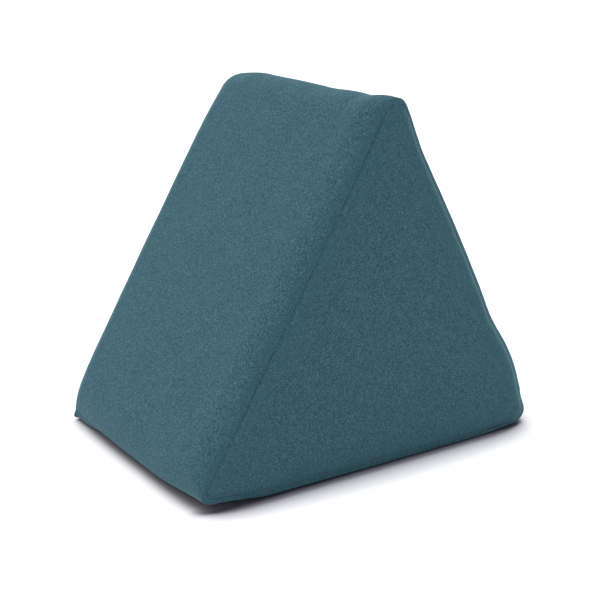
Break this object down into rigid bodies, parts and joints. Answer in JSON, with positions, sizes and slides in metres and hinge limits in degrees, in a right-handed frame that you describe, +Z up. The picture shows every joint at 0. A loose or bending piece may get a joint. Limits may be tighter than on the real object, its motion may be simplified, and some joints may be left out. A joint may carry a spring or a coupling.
{
  "type": "triangular felt pouf",
  "caption": "Soft pouf shaped like a triangular prism, in felted wool with a rounded ridge and a sewn-in triangular panel at each end.",
  "frame": {"origin": "on the floor, at the centre of the pouf's footprint", "axes": "+Z up, +X across the triangle from one lower corner to the other, +Y along the ridge from the near end to the far end"},
  "size_m": [0.5109, 0.334, 0.456],
  "materials": {
    "band_felt": "matt felted wool, teal",
    "end_felt": "matt felted wool, teal"
  },
  "bodies": {
    "root": {"band": "band_felt", "end_panel_near": "end_felt", "end_panel_far": "end_felt"}
  },
  "joints": []
}
